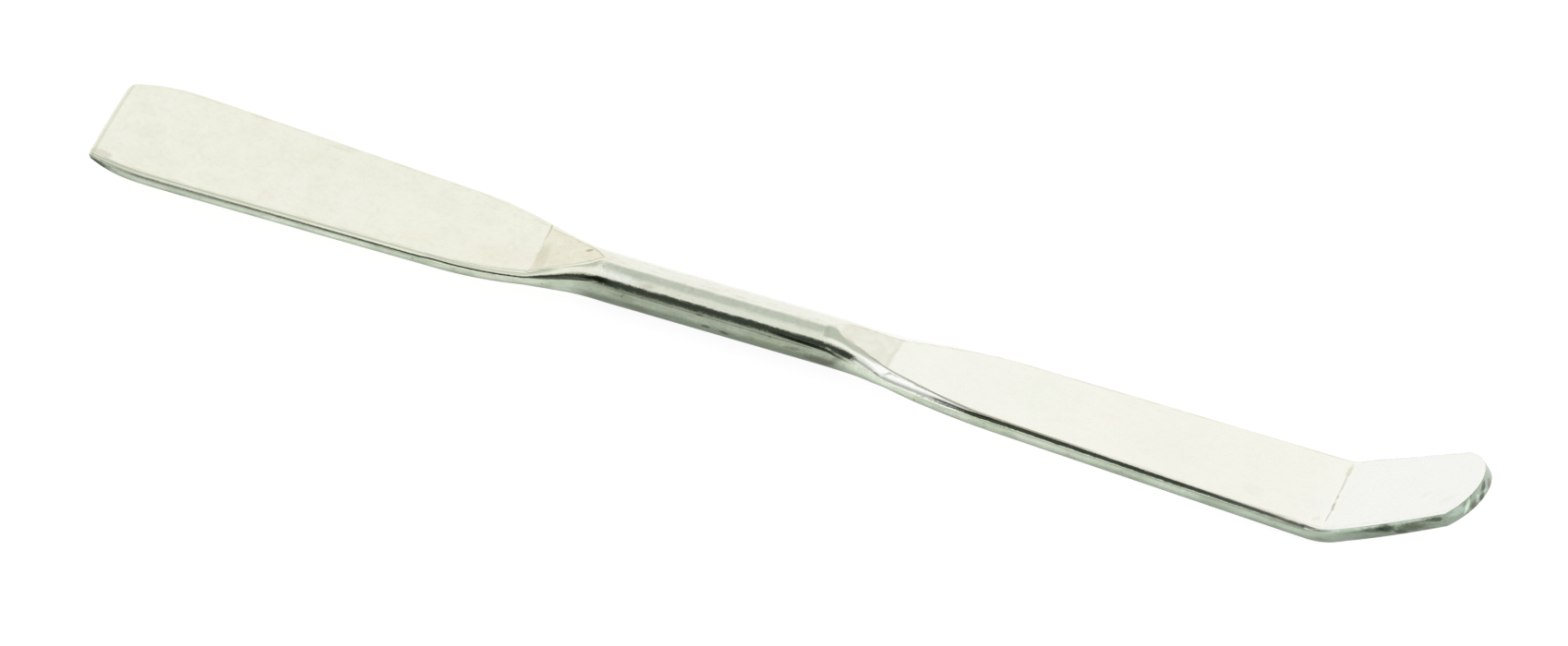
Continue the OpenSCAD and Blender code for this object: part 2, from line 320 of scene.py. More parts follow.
class Shape:
    """The rule that gives each point of the surface, as fields over a grid's points."""

    def __init__(self, nodes, sizes):
        self.nodes = nodes
        for name, value in sizes.items():
            setattr(self, name, value)
        self.rod_r = self.rod_d / 2
        self.neck_s = self.square_l - self.square_neck_back
        self.shoulder_s = self.neck_s + self.square_shoulder_l
        self.rod_start = self.square_l + self.square_ramp_l
        self.rod_end = self.rod_start + self.rod_l
        self.bent_shoulder_s = self.rod_end + self.bent_shoulder_in
        self.bent_neck_s = self.bent_shoulder_s + self.bent_shoulder_l
        self.bent_foot = self.rod_end + self.bent_ramp_l
        self.bend_s = self.bent_foot + self.bent_l
        bend_half = self.bend_r * self.tip_angle / 2
        self.bend_in = self.bend_s - bend_half
        self.tip_s = self.bend_s + bend_half
        self.total_s = self.bend_s + self.tip_l
        self.round_s = self.total_s - self.tip_r

    @staticmethod
    def ramp(s, start, ease):
        """0 before start and then one per metre, with the corner rounded over ease."""
        x = (s - start + ease).clamp(0, 2 * ease)
        return x * x / (4 * ease) + (s - start - ease).at_least(0)

    def table(self, s, points, eases):
        """A value that runs straight from point to point, with the corners rounded."""
        first = points[0][1]
        slopes = [(b[1] - a[1]) / (b[0] - a[0]) for a, b in zip(points, points[1:])]
        value = first + slopes[0] * self.ramp(s, points[0][0], eases[0])
        for i in range(1, len(points) - 1):
            value = value + (slopes[i] - slopes[i - 1]) * self.ramp(s, points[i][0], eases[i])
        return value - slopes[-1] * self.ramp(s, points[-1][0], eases[-1])

    @staticmethod
    def fade(s, run):
        """1 at the cut end, falling to 0 along a parabola."""
        return (1 - s / run).at_least(0) ** 2

    @staticmethod
    def corner(s, radius):
        """What a round corner of the cut end takes off the half-width."""
        return radius - (radius * radius - (radius - s).at_least(0) ** 2).sqrt()

    def lean(self, s):
        """The angle of the metal's middle above the rod's own line, at a station."""
        up = ((s - self.rod_start) / self.rod_ease).clamp()
        down = ((s - self.rod_end + self.rod_ease) / self.rod_ease).clamp()
        bend = ((s - self.bend_in) / (self.tip_s - self.bend_in)).clamp()
        return self.square_lean * (up - 1) - self.bent_lean * down + self.tip_angle * bend

    def widths(self, s):
        """Half-widths behind and in front of the middle."""
        points = [(self.square_narrowing_l, self.square_w / 2), (self.neck_s, self.square_neck_w / 2),
                  (self.shoulder_s, self.rod_r), (self.bent_shoulder_s, self.rod_r),
                  (self.bent_neck_s, self.bent_neck_w / 2), (self.bend_s, self.bent_w / 2)]
        eases = [self.square_neck_ease, self.square_neck_ease, self.rod_ease, self.rod_ease,
                 self.bent_neck_ease, self.bent_neck_ease]
        plain = self.table(s, points, eases)
        narrow = self.fade(s, self.square_narrowing_l)
        inset = (self.square_w - self.square_end_w) / 2
        along = ((s - self.bend_in) / (self.round_s - self.bend_in)).at_least(0)
        swelling = ((s - self.bend_in) / self.tip_swell_l).at_least(0)
        back = (plain - self.corner(s, self.back_corner_r)
                - (inset + self.square_end_offset) * narrow - self.tip_taper * along)
        front = (plain - self.corner(s, self.front_corner_r)
                 - (inset - self.square_end_offset) * narrow
                 + 4 * self.tip_swell * swelling * (1 - swelling))
        return back, front

    def lift(self, s):
        """How far the curved underside lifts the middle, and thins each half."""
        return (self.square_t - self.square_end_t) / 2 * self.fade(s, self.square_thinning_l)

    def half_thickness(self, s):
        """From the middle up to the flat, at a station."""
        points = [(self.square_l, self.square_t / 2), (self.rod_start, self.rod_r),
                  (self.rod_end, self.rod_r), (self.bent_foot, self.bent_t / 2)]
        return self.table(s, points, [self.ramp_ease] * 4).at_most(self.rod_r) - self.lift(s)

    def edge_bulge(self, s):
        """How far a blade's rounded edge passes its flat."""
        points = [(self.neck_s - self.square_neck_ease, self.square_bulge),
                  (self.square_l, self.square_foot_bulge), (self.rod_start, self.ramp_bulge),
                  (self.bent_foot, self.ramp_bulge),
                  (self.bent_foot + self.bent_edge_l, self.bent_bulge),
                  (self.bend_in, self.bent_bulge), (self.bend_in + self.ground_in, self.tip_bulge)]
        return self.table(s, points, [self.rod_ease] * 7)

    def end_at(self, y, z):
        """Where the metal ends: a round end that is ground at a slant."""
        depth = self.bent_t / 2 - z
        d = y + self.tip_offset - depth * self.side_draft.math("TANGENT")
        reach = (self.tip_r * self.tip_r - d * d).sqrt()
        return self.round_s - depth * self.end_draft.math("TANGENT") + reach


# A point of a section: its place, the half-thickness, 1 or -1 for the half of the ring that it
# is on, its share across the face, the distances of that half's rims and its share of the edge
Section = namedtuple("Section", "y z half_t side across this_rim other_rim on_edge arc_share")


def cross_section(shape, s, around, counts):
    """A section's outline: flats above and below, and rounded edges behind and in front."""
    h = shape.half_thickness(s)
    back_w, front_w = shape.widths(s)

    # the first half of a ring is the top and the back edge, the second the underside and the front
    half = counts["face_steps"] + counts["edge_steps"]
    second = around > half - 0.5
    side = 1 - 2 * second
    step = around - second * half
    this_w = back_w + (front_w - back_w) * second
    other_w = back_w + front_w - this_w
    cut = shape.rod_r - (shape.rod_r * shape.rod_r - h * h).sqrt()
    bulge = (cut ** 4 + shape.edge_bulge(s) ** 4) ** 0.25
    this_b = bulge.at_most(this_w)
    other_b = bulge.at_most(other_w)
    least_flat = 0.02
    this_rim = (this_w - this_b).at_least(least_flat * this_w)
    other_rim = (other_w - other_b).at_least(least_flat * other_w)

    def arc(bulge):
        """An edge's radius, and the factor by which a wide bulge stretches it outwards."""
        inner = bulge.at_most(h)
        return (h * h + inner * inner) / (2 * inner), (bulge / h).at_least(1)

    this_r, this_stretch = arc(this_b)
    other_r, other_stretch = arc(other_b)

    # across a face, and then around the edge's arc
    across = (1 - (math.pi * (step / counts["face_steps"]).clamp()).cos()) / 2
    face_y = across * (this_rim + other_rim) - other_rim
    this_d = (this_r - (this_w - face_y) / this_stretch).at_least(0)
    other_d = (other_r - (other_w + face_y) / other_stretch).at_least(0)
    on_this = face_y > 0
    face_z = ((this_r * this_r - this_d * this_d).sqrt() * on_this
              + (other_r * other_r - other_d * other_d).sqrt() * (1 - on_this)).at_most(h)
    on_edge = step > counts["face_steps"]
    turn = (1 - (this_w - this_rim) / this_stretch / this_r).at_most(1).math("ARCCOSINE")
    arc_share = ((step - counts["face_steps"]) / counts["edge_steps"]).clamp()
    turned = turn * (1 - 2 * arc_share)
    edge_y = this_w - this_stretch * this_r * (1 - turned.cos())
    edge_z = this_r * turned.sin()
    y = side * (face_y + (edge_y - face_y) * on_edge)
    z = side * (face_z + (edge_z - face_z) * on_edge)
    return Section(y, z, h, side, across, this_rim, other_rim, on_edge, arc_share)


def close_ends(shape, section, s, closing, at_tip):
    """Gives the place in a section, with both ends closed and the tip's front edge ground.

    The rows past either end make a rounded rim, and then the end's own face. The last value is
    how far the rounding takes a row back along the metal.
    """
    rounding = shape.cut_round + (shape.tip_round - shape.cut_round) * at_tip
    quarter = (closing * 2).at_most(1) * (math.pi / 2)
    inward = 1 - rounding * (1 - quarter.cos()) / section.half_t
    z = section.z * inward * (1 - (closing * 2 - 1).at_least(0))
    ground = ((s - shape.bend_in) / shape.ground_in).clamp()
    front_share = 0.5 - section.side * (section.across - 0.5)
    y = section.y - shape.front_draft.math("TANGENT") * ground * z * front_share
    return y, z, rounding * (1 - quarter.sin())


def end_shift(shape, s, y, z, short):
    """How far the ends' outlines shift the sections near them along the metal."""
    start = short - shape.square_crown * (1 - (2 * y / shape.square_end_w) ** 2)
    start_share = (1 - s / shape.square_narrowing_l).at_least(0)
    tip = shape.end_at(y, z) - short - shape.total_s
    tip_share = ((s - shape.tip_s) / (shape.total_s - shape.tip_s)).at_least(0)
    return start * start_share + tip * tip_share


def along_route(nodes, shape, s, before, column, shift, y, z):
    """A section's point in its final place: the middle's route, and the offset from it."""
    middle_lean = shape.lean((s + before) / 2)
    steps = nodes.vector((s - before) * middle_lean.cos(), 0, (s - before) * middle_lean.sin())
    route = nodes.node("GeometryNodeAccumulateField", {"data_type": "FLOAT_VECTOR"},
                       {0: steps, "Group ID": column})
    lean = shape.lean(s)
    up = z + shape.lift(s)
    offset = nodes.vector(shift * lean.cos() - up * lean.sin(), y,
                          shift * lean.sin() + up * lean.cos())
    return nodes.node("ShaderNodeVectorMath", {"operation": "ADD"}, {0: route, 1: offset})


def surface(nodes, sizes, counts):
    """The spatula's surface: a grid whose points the rule puts in their places."""
    shape = Shape(nodes, sizes)
    ends = counts["end_steps"]
    ring = 2 * (counts["face_steps"] + counts["edge_steps"])
    rows = counts["stations"] + 2 * ends
    grid = nodes.node("GeometryNodeMeshGrid", {}, {
        "Size X": 1, "Size Y": 1, "Vertices X": rows + 1, "Vertices Y": ring + 1})
    index = nodes.node("GeometryNodeInputIndex")
    row = (index / (ring + 1) + 0.5 / (ring + 1)).floor()
    around = (index - row * (ring + 1)) % ring

    def station(row):
        """Sections lie closer at both ends, where the outline turns fastest."""
        share = ((row - ends) / counts["stations"]).clamp()
        return shape.total_s * (share - counts["closeness"] * (2 * math.pi * share).sin() / (2 * math.pi))

    s = station(row)
    closing = ((ends - row).at_least(row - ends - counts["stations"])).at_least(0) / ends
    at_tip = row > ends + counts["stations"] / 2
    section = cross_section(shape, s, around, counts)
    y, z, short = close_ends(shape, section, s, closing, at_tip)
    shift = end_shift(shape, s, y, z, short)
    place = along_route(nodes, shape, s, station(row - 1), index % (ring + 1), shift, y, z)

    mesh = nodes.node("GeometryNodeSetPosition", {}, {"Geometry": grid, "Position": place})
    stored = {"along": s, "across": y, "edge": section.on_edge * section.arc_share,
              "on_edge": section.on_edge, "closing": closing,
              "rim": (section.this_rim - section.side * y).at_most(section.other_rim + section.side * y)}
    for name, value in stored.items():
        mesh = nodes.node("GeometryNodeStoreNamedAttribute", {"data_type": "FLOAT", "domain": "POINT"},
                          {"Geometry": mesh, "Name": name, "Value": value})
    return mesh


def group_input(tree, owner):
    """Gives a tree one named input for each property of a group of settings."""
    for name, made in owner.bl_rna.properties.items():
        if name not in owner.__annotations__:
            continue
        socket = tree.interface.new_socket(made.name, in_out="INPUT", socket_type="NodeSocketFloat")
        socket.default_value = getattr(owner, name)
        socket.description = made.description
        yield name, socket


def grown(name, settings, counts, material):
    """An object whose mesh a Geometry Nodes tree grew from the named sizes."""
    tree = bpy.data.node_groups.new(name, "GeometryNodeTree")
    tree.interface.new_socket("Geometry", in_out="OUTPUT", socket_type="NodeSocketGeometry")
    sockets = dict(group_input(tree, settings))
    nodes = Nodes(tree)
    given = nodes.node("NodeGroupInput")
    sizes = {name: given[socket.name] for name, socket in sockets.items()}
    mesh = surface(nodes, sizes, counts)
    mesh = nodes.node("GeometryNodeMergeByDistance", {}, {"Geometry": mesh, "Distance": MM / 1000})
    mesh = nodes.node("GeometryNodeFlipFaces", {}, {"Mesh": mesh})
    mesh = nodes.node("GeometryNodeSetShadeSmooth", {}, {"Geometry": mesh})
    mesh = nodes.node("GeometryNodeRealizeInstances", {}, {"Geometry": mesh})
    mesh = nodes.node("GeometryNodeSetMaterial", {}, {"Geometry": mesh, "Material": material})
    nodes.node("NodeGroupOutput", {}, {0: mesh})

    piece = bpy.data.objects.new(name, bpy.data.meshes.new(name))
    bpy.context.scene.collection.objects.link(piece)
    modifier = piece.modifiers.new("Shape", "NODES")
    modifier.node_group = tree
    for size, socket in sockets.items():
        modifier[socket.identifier] = getattr(settings, size)
    evaluated = piece.evaluated_get(bpy.context.evaluated_depsgraph_get())
    piece.data = bpy.data.meshes.new_from_object(evaluated)
    piece.modifiers.clear()
    return piece


def lay_to_rest(piece, square_lean):
    """Turns and moves the mesh to where the frame's spatula lies."""
    face = next(m for m in frame["record"]["mounts"] if m["name"] == "square_blade_face")
    normal = Vector(face["axis"])
    piece.data.transform(Matrix.Rotation(math.atan2(normal.x, normal.z) - square_lean, 4, "Y"))
    low, high = (Vector(corner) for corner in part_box("spatula"))
    points = [v.co for v in piece.data.vertices]
    own_low = Vector(min(p[i] for p in points) for i in range(3))
    own_high = Vector(max(p[i] for p in points) for i in range(3))
    move = (low + high - own_low - own_high) / 2
    move.z = low.z - own_low.z
    piece.data.transform(Matrix.Translation(move))


# ---------------------------------------------------------------- the metal

# Multiplied into the metal's colour
ROSY = (1, 0.965, 0.95)
LILAC = (0.975, 0.965, 0.985)
OLIVE = (0.9, 0.925, 0.85)
SMOKE = (0.80, 0.79, 0.74)
BROWN = (0.6, 0.55, 0.45)
UMBER = (0.42, 0.38, 0.34)
SOOT = (0.27, 0.28, 0.26)
# painted shade and highlights: these three tints stand for shade, glints and highlights, not the metal's own
# colour
PAINTED_DARK = (0.13, 0.145, 0.12)
PAINTED_GLINT = (1.45, 1.45, 1.5)
PAINTED_HIGHLIGHT = (1.19, 1.18, 1.3)

# Millimetres along the metal that a colour ramp spans
COLOUR_RAMP_L = 125
# Millimetres around the front edge, from its lower rim to its upper one
BLADE_ARC = 1.7
ROD_ARC = 6.4

# Places in millimetres: the middle, half-length, half-width, turn in degrees
Mark = namedtuple("Mark", "u v length width turn colour strength")
# On the flats, along and across them
FACE_MARKS = [
    # stains of the square blade, from the cut end on
    Mark(0.9, -4.2, 0.9, 0.35, -5, BROWN, 0.35), Mark(3.6, -0.6, 1.4, 0.7, 20, OLIVE, 0.15),
    Mark(11, 2.6, 1.6, 1.1, 30, OLIVE, 0.15), Mark(15, -3.3, 0.8, 1.0, 0, ROSY, 0.6),
    Mark(17.4, 2.4, 1.5, 1.0, -10, OLIVE, 0.25), Mark(18.2, 4.0, 1.2, 0.25, 0, SMOKE, 0.3),
    Mark(25.6, 2.1, 1.3, 0.6, -15, OLIVE, 0.25), Mark(28.2, -2.7, 1.5, 0.6, 15, ROSY, 0.6),
    Mark(35, -1.7, 3.2, 1.3, 12, ROSY, 0.7),
    # the smoky band at the ramp's foot, and a speck near the ramp's end
    Mark(37.9, -0.9, 0.5, 1.7, 6, SMOKE, 0.5), Mark(41.4, 0.55, 0.3, 0.16, 20, BROWN, 0.9),
    # stains of the bent blade
    Mark(86.5, 0.5, 1.2, 0.5, 0, ROSY, 0.6), Mark(83.4, -1.3, 1.6, 0.4, 20, ROSY, 0.5),
    Mark(80.5, 0.6, 3.5, 2.2, 0, OLIVE, 0.15), Mark(100.5, -2.2, 1.2, 0.7, 0, OLIVE, 0.25),
    # beads of the scratch along the bend, from the back to the front
    Mark(106.95, 2.7, 0.8, 0.28, 96, (0.82, 0.81, 0.7), 0.8), Mark(107.12, 1.4, 0.8, 0.15, 100, BROWN, 0.35),
    Mark(107.25, 0.5, 0.5, 0.12, 97, SMOKE, 0.5), Mark(107.35, -0.42, 0.35, 0.17, 90, BROWN, 0.5),
    Mark(107.47, -1.2, 0.4, 0.12, 108, BROWN, 0.35), Mark(107.52, -1.7, 0.5, 0.19, 108, UMBER, 0.5),
    Mark(107.6, -2.7, 0.8, 0.12, 93, BROWN, 0.4), Mark(106.5, -3.2, 0.5, 0.3, 20, OLIVE, 0.7),
    # the tip
    Mark(116.8, -1.5, 0.6, 0.4, 30, OLIVE, 0.4), Mark(119.7, -2.5, 0.8, 0.6, 60, OLIVE, 0.4),
]
# On the front edge, along it and up from its lower rim
EDGE_MARKS = [
    # painted shade in the cut end's lower front corner, then a thin dark line
    Mark(0.5, 0.5, 1.5, 0.55, 0, PAINTED_DARK, 0.95), Mark(1.5, 0.95, 1.6, 0.12, -4, UMBER, 0.6),
    # the rod: a painted highlight and a blotch near its start, and stains lower down
    Mark(44.4, 5.2, 1.7, 0.45, -4, PAINTED_HIGHLIGHT, 0.7), Mark(46.4, 5.45, 0.7, 0.3, 0, LILAC, 1),
    Mark(47.3, 5.0, 0.6, 0.25, 10, SMOKE, 0.7), Mark(52.0, 3.95, 0.4, 0.12, 0, SOOT, 0.6),
    Mark(52.6, 2.95, 0.4, 0.18, 10, SOOT, 0.7), Mark(54.2, 2.8, 0.45, 0.2, -10, SOOT, 0.8),
    Mark(58.1, 3.1, 1.7, 0.5, 8, (1.2, 1.19, 1.12), 0.6), Mark(62.6, 2.8, 1.8, 0.55, 0, UMBER, 0.6),
    Mark(60.2, 3.3, 0.9, 0.2, 5, UMBER, 0.6), Mark(46.5, 2.7, 1.2, 0.4, 0, SMOKE, 0.8),
    # the tip's ground edge, with a painted highlight near its end
    Mark(106.9, 1.52, 2.2, 0.12, 0, SOOT, 0.8),
    Mark(112.3, 1.2, 1.8, 0.1, 2, SOOT, 0.3), Mark(114.2, 1.2, 1.6, 0.26, -4, SOOT, 0.7),
    Mark(115.7, 1.15, 1.1, 0.45, -6, SOOT, 1), Mark(117.2, 0.38, 0.7, 0.4, -20, SOOT, 0.8),
    Mark(118.6, 0.85, 1.8, 0.42, 0, UMBER, 0.7), Mark(119.2, 1.3, 1.6, 0.12, 0, UMBER, 0.6),
    Mark(121.2, 1.25, 1.0, 0.22, -5, SOOT, 0.9), Mark(121.4, 0.3, 0.8, 0.35, 0, PAINTED_GLINT, 0.3),
]
# On the tip's end, across it and up from the table
END_MARKS = [
    # painted highlights and a painted glint among the end's dark spots
    Mark(-3.4, 7.5, 0.7, 0.6, 0, PAINTED_GLINT, 0.9), Mark(-2.55, 7.5, 0.22, 0.8, -15, (1.9, 1.9, 2), 1),
    Mark(-1.9, 7.1, 0.4, 0.6, 20, UMBER, 0.9), Mark(-1.35, 7.6, 0.18, 0.4, 30, PAINTED_GLINT, 0.8),
    Mark(-0.45, 7.85, 0.5, 0.42, 20, SOOT, 1), Mark(-0.85, 7.2, 0.42, 0.4, 0, SOOT, 1),
    Mark(-0.2, 7.3, 0.25, 0.2, 0, PAINTED_GLINT, 0.8), Mark(0.75, 7.2, 0.45, 0.5, 20, UMBER, 0.8),
]


class Metal:
    """Worn nickel as fields over the surface: places in millimetres, masks, patterns and tones, some of them
    painted shade and highlights.
    """

    def __init__(self, nodes, settings):
        self.nodes = nodes
        self.settings = settings
        self.s = self.attribute("along") / MM
        self.y = self.attribute("across") / MM
        self.z = nodes.node("ShaderNodeSeparateXYZ", {}, {
            0: nodes.node("ShaderNodeTexCoord", {}, {}, "Object")}, "Z") / MM
        self.rim = self.attribute("rim") / MM
        self.edge = self.attribute("edge")
        self.closing = self.attribute("closing")
        self.on_edge = self.attribute("on_edge")
        self.on_flat = 1 - self.on_edge
        self.on_rod = self.s.within(43, 63, 3)
        self.in_front = 1 - self.y.rise(-0.5, 0)
        normal = nodes.node("ShaderNodeNewGeometry", {}, {}, "Normal")
        self.up = nodes.node("ShaderNodeSeparateXYZ", {}, {0: normal}, "Z")
        # the sides and the underside, with every side of the ground tip, which take a darker colour as
        # painted shade
        self.painted_shade_sides = self.on_edge * (1 - self.up.rise(0.42, 0.46)).at_least(self.s.rise(108, 110))

        # patterns that more than one part uses
        self.place = nodes.vector(self.s, self.y, self.z)
        self.flat_place = nodes.vector(self.s, self.y, 0)
        streak_place = nodes.vector(self.s * 0.1, self.y, self.z)
        self.cloudy = nodes.noise(self.place, 0.9, 4, 2)
        self.specks = nodes.noise(self.place, 3.2, 3, 3)
        self.grain = nodes.noise(self.place, 9, 2, 4)
        self.streaks = nodes.noise(streak_place, 5, 4, 5)
        self.hairlines = nodes.noise(streak_place, 16, 2, 6)
        self.wander = nodes.noise(self.flat_place, 0.6, 2, 7) - 0.5

    def attribute(self, name):
        return self.nodes.node("ShaderNodeAttribute", {"attribute_name": name}, {}, "Fac")

    def by_station(self, *stops):
        """A colour that changes along the spatula."""
        return self.nodes.node("ShaderNodeValToRGB", {"stops": [
            (station / COLOUR_RAMP_L, colour) for station, colour in stops]}, {0: self.s / COLOUR_RAMP_L})

    def stained(self, base, marks, where, share):
        """Adds a list of marks with ragged outlines."""
        nodes = self.nodes
        ragged = (self.specks - 0.5) * 1.1 + (self.cloudy - 0.5) * 0.8
        for mark in marks:
            around = nodes.node("ShaderNodeMapping", {"vector_type": "TEXTURE"}, {
                "Vector": where, "Location": (mark.u, mark.v, 0),
                "Rotation": (0, 0, mark.turn * DEG), "Scale": (mark.length, mark.width, 1)})
            inside = 1 - (nodes.length(around) + ragged).rise(0.5, 1.3)
            base = nodes.tint(base, inside * share * mark.strength, mark.colour)
        return base

    def flats(self):
        """The flats' colour: warm on the square blade, whiter past the rod, and faintly stained."""
        nodes, metal, s = self.nodes, self.settings, self.s
        streaks, on_rod = self.streaks, self.on_rod
        flat = self.by_station((0, metal.square_nickel), (42, metal.square_nickel),
                               (46, metal.rod_nickel), (62, metal.rod_nickel),
                               (71, metal.shoulder_nickel), (76, metal.shoulder_nickel),
                               (90, metal.bent_nickel), (104, metal.bent_nickel),
                               (109, metal.tip_nickel))
        broad = nodes.noise(self.place, 0.22, 3, 1)
        soft = nodes.noise(self.place, 0.55, 1, 10)
        dust = nodes.noise(self.flat_place, 2.2, 1, 12)
        left = 1 - s.rise(42, 44)
        before_tip = 1 - s.rise(106.5, 107.5)
        flat = nodes.tint(flat, broad.rise(0.3, 0.7) * 0.5 * before_tip, LILAC)
        flat = nodes.tint(flat, soft.rise(0.3, 0.75) * (0.1 + 0.2 * left), OLIVE)
        flat = nodes.tint(flat, dust.rise(0.4, 0.8) * (0.08 + 0.1 * left) * before_tip, SMOKE)
        flat = nodes.tint(flat, streaks.rise(0.5, 0.72) * (0.2 + on_rod * 0.8) * before_tip, ROSY)
        rusty = self.specks.rise(0.4, 0.7) * streaks.rise(0.35, 0.65) * on_rod
        flat = nodes.tint(flat, rusty, (0.945, 0.925, 0.91))
        return nodes.tint(flat, self.hairlines.rise(0.45, 0.75) * 0.06 * before_tip, SMOKE)

    def ramps(self, flat):
        """Makes both ramps smokier, and darker along their outlines and feet."""
        nodes, s, y, rim = self.nodes, self.s, self.y, self.rim
        cloudy, wander = self.cloudy, self.wander
        tongue = s.rise(37.3, 37.6) * (1 - s.rise(43.2, 43.8)) * rim.rise(0, 0.06)
        flat = nodes.tint(flat, tongue * (0.6 + 0.8 * cloudy.rise(0.35, 0.62)), (0.95, 0.925, 0.865))
        flat = nodes.tint(flat, tongue * self.specks.rise(0.5, 0.65) * 0.2, SMOKE)
        outline = tongue * (1 - rim.rise(0.05, 0.3)) * (0.25 + 0.75 * s.rise(40, 42))
        flat = nodes.tint(flat, outline * 0.9, SMOKE)
        foot = (s + (y - 2) * 0.1 + wander * 0.9).within(37.16, 37.22, 0.13) * (1 - y.rise(2.9, 3.1))
        foot = foot * (0.25 + 0.75 * y.rise(0.8, 2.4)) * y.rise(-1.9, -0.5)
        flat = nodes.tint(flat, foot, (0.72, 0.67, 0.57))
        ramp = s.rise(63.4, 64) * (1 - (s + wander * 0.4).rise(68.2, 68.5)) * rim.rise(0, 0.06)
        flat = nodes.tint(flat, ramp * (0.5 + 0.5 * cloudy.rise(0.35, 0.6)), (0.9, 0.89, 0.85))
        return nodes.tint(flat, (s + wander * 0.8).within(68.1, 68.25, 0.15) * self.on_flat * 0.25, SMOKE)

    def scratches(self, flat):
        """Draws the lines along the rims, a line of painted shade just inside the cut end, and the line
        where the tip was bent.
        """
        nodes, s, y, on_flat = self.nodes, self.s, self.y, self.on_flat
        rims = self.rim.within(0.0, 0.16, 0.05) * s.rise(2, 4) * on_flat
        flat = nodes.tint(flat, rims * self.streaks.rise(0.42, 0.6), (0.94, 0.91, 0.88))
        # painted shade: a grey line just inside the cut end, standing in for the darker reflection of its
        # rounded rim
        cut = (s + self.wander * 0.12).within(0.16, 0.3, 0.1)
        flat = nodes.tint(flat, cut * (0.35 + self.cloudy * 0.5), SMOKE)
        crease = (s + y * 0.12 + self.wander * 0.4).within(107.25, 107.3, 0.15) * y.within(-3.3, 3.1, 0.3)
        return nodes.tint(flat, crease * (0.25 + 0.75 * self.cloudy.rise(0.35, 0.6)) * on_flat * 0.5, SMOKE)

    def sides(self):
        """The sides and the underside: green-grey and mottled, with painted shade that keeps them darker
        than the flats and darkest on the rod.
        """
        nodes, metal, s, edge = self.nodes, self.settings, self.s, self.edge
        specks, streaks, grain = self.specks, self.streaks, self.grain
        side = self.by_station((0, metal.side_dark), (6, metal.side), (14, metal.side_light),
                               (23, metal.side), (63, metal.side), (68, metal.side_light),
                               (80, metal.side), (104, metal.side_dark), (113, metal.ground))
        # painted shade: darker towards the bottom, and the rod's underside darker than its side
        lower = 1 - self.up.rise(-0.16, 0.1)
        side = nodes.tint(side, lower, (0.84, 0.855, 0.86))
        rod_side = nodes.mix(lower, (*metal.rod_side, 1), (*metal.rod_underside, 1))
        side = nodes.mix(self.on_rod, side, rod_side)
        patches = nodes.noise(nodes.vector(s * 0.5, self.y, self.z), 0.8, 4, 8)
        side = nodes.tint(side, patches.rise(0.5, 0.68) * 0.65, (0.72, 0.76, 0.7))
        side = nodes.tint(side, streaks.rise(0.52, 0.64) * 0.45, (0.75, 0.78, 0.72))
        side = nodes.tint(side, specks.rise(0.62, 0.7) * patches.rise(0.42, 0.6) * 0.7, (0.35, 0.38, 0.3))
        side = nodes.tint(side, patches.rise(0.5, 0.36) * specks.rise(0.35, 0.6) * 0.5, (1.3, 1.3, 1.35))
        side = nodes.tint(side, grain.rise(0.45, 0.7) * (0.3 + 0.3 * self.on_rod), (0.75, 0.77, 0.72))
        # a thin dark line along the rod
        line = (edge + (s - 46) * 0.0012).within(0.615, 0.622, 0.01) * s.within(45, 61, 2)
        side = nodes.tint(side, line * streaks.rise(0.25, 0.5) * 0.9, (0.55, 0.57, 0.52))
        # a painted highlight along the upper rim of the ground edge
        wear_and_highlight = s.rise(105, 108) * edge.rise(0.72, 0.97) * (1 - self.closing.rise(0, 0.1)) * self.in_front
        side = nodes.tint(side, wear_and_highlight * (1 - s.rise(119, 120.5)), (1.6, 1.6, 1.7))
        return nodes.tint(side, s.within(113.5, 120, 1.5) * grain.rise(0.42, 0.6) * 0.6, (0.7, 0.66, 0.6))

    def edge_painted_light(self, base):
        """Paints shade and highlights into the front edge: darker and brighter bands that stand in for its
        reflections.
        """
        nodes, s, edge, up = self.nodes, self.s, self.edge, self.up
        front = self.on_edge * self.in_front
        # a painted highlight on the upward-facing edge past the second ramp
        base = nodes.tint(base, self.on_edge * up.rise(0.5, 0.6) * s.within(68, 74, 4), (1.08, 1.08, 1.15))
        # painted dark reflection: dark bands at the rod's end, on the first shoulder and at the bent blade's
        # neck
        rod_end = (edge + (s - 56).at_least(0) * 0.006).within(0.66, 0.69, 0.012) * s.within(60, 63.4, 2.5)
        shoulder = edge.within(0.67, 0.73, 0.015) * s.within(38.5, 43.2, 1.6) * 0.9
        neck = (edge - (s - 73).at_most(4) * 0.02).within(0.8, 0.835, 0.02) * s.within(73.4, 77.5, 1) * 0.9
        base = nodes.tint(base, rod_end.at_least(shoulder).at_least(neck) * front, PAINTED_DARK)
        # painted shade: greyer along the top of the square blade's edge, where the rod meets the ramp,
        # and under the bent blade's dark band
        top = up.within(0.82, 0.93, 0.04) * (1 - s.rise(38.5, 40.5))
        base = nodes.tint(base, top * front, (0.7, 0.74, 0.67))
        top = (up - (s - 65.2).at_least(0) * 0.07).rise(0.76, 0.84) * s.within(62.8, 67.6, 0.5)
        base = nodes.tint(base, top * front, (0.56, 0.6, 0.53))
        below = edge.within(0.69, 0.75, 0.03) * s.within(76, 104, 2)
        base = nodes.tint(base, below * front, (0.78, 0.8, 0.76))
        # painted shade: a dark line along the flats' front rim past the second ramp
        rim_shade_line = self.rim.within(-0.09, 0.02, 0.06) * s.within(67, 84, 5) * (1 - self.on_rod)
        return nodes.tint(base, rim_shade_line * (0.5 + self.streaks) * self.in_front, (0.55, 0.55, 0.48))

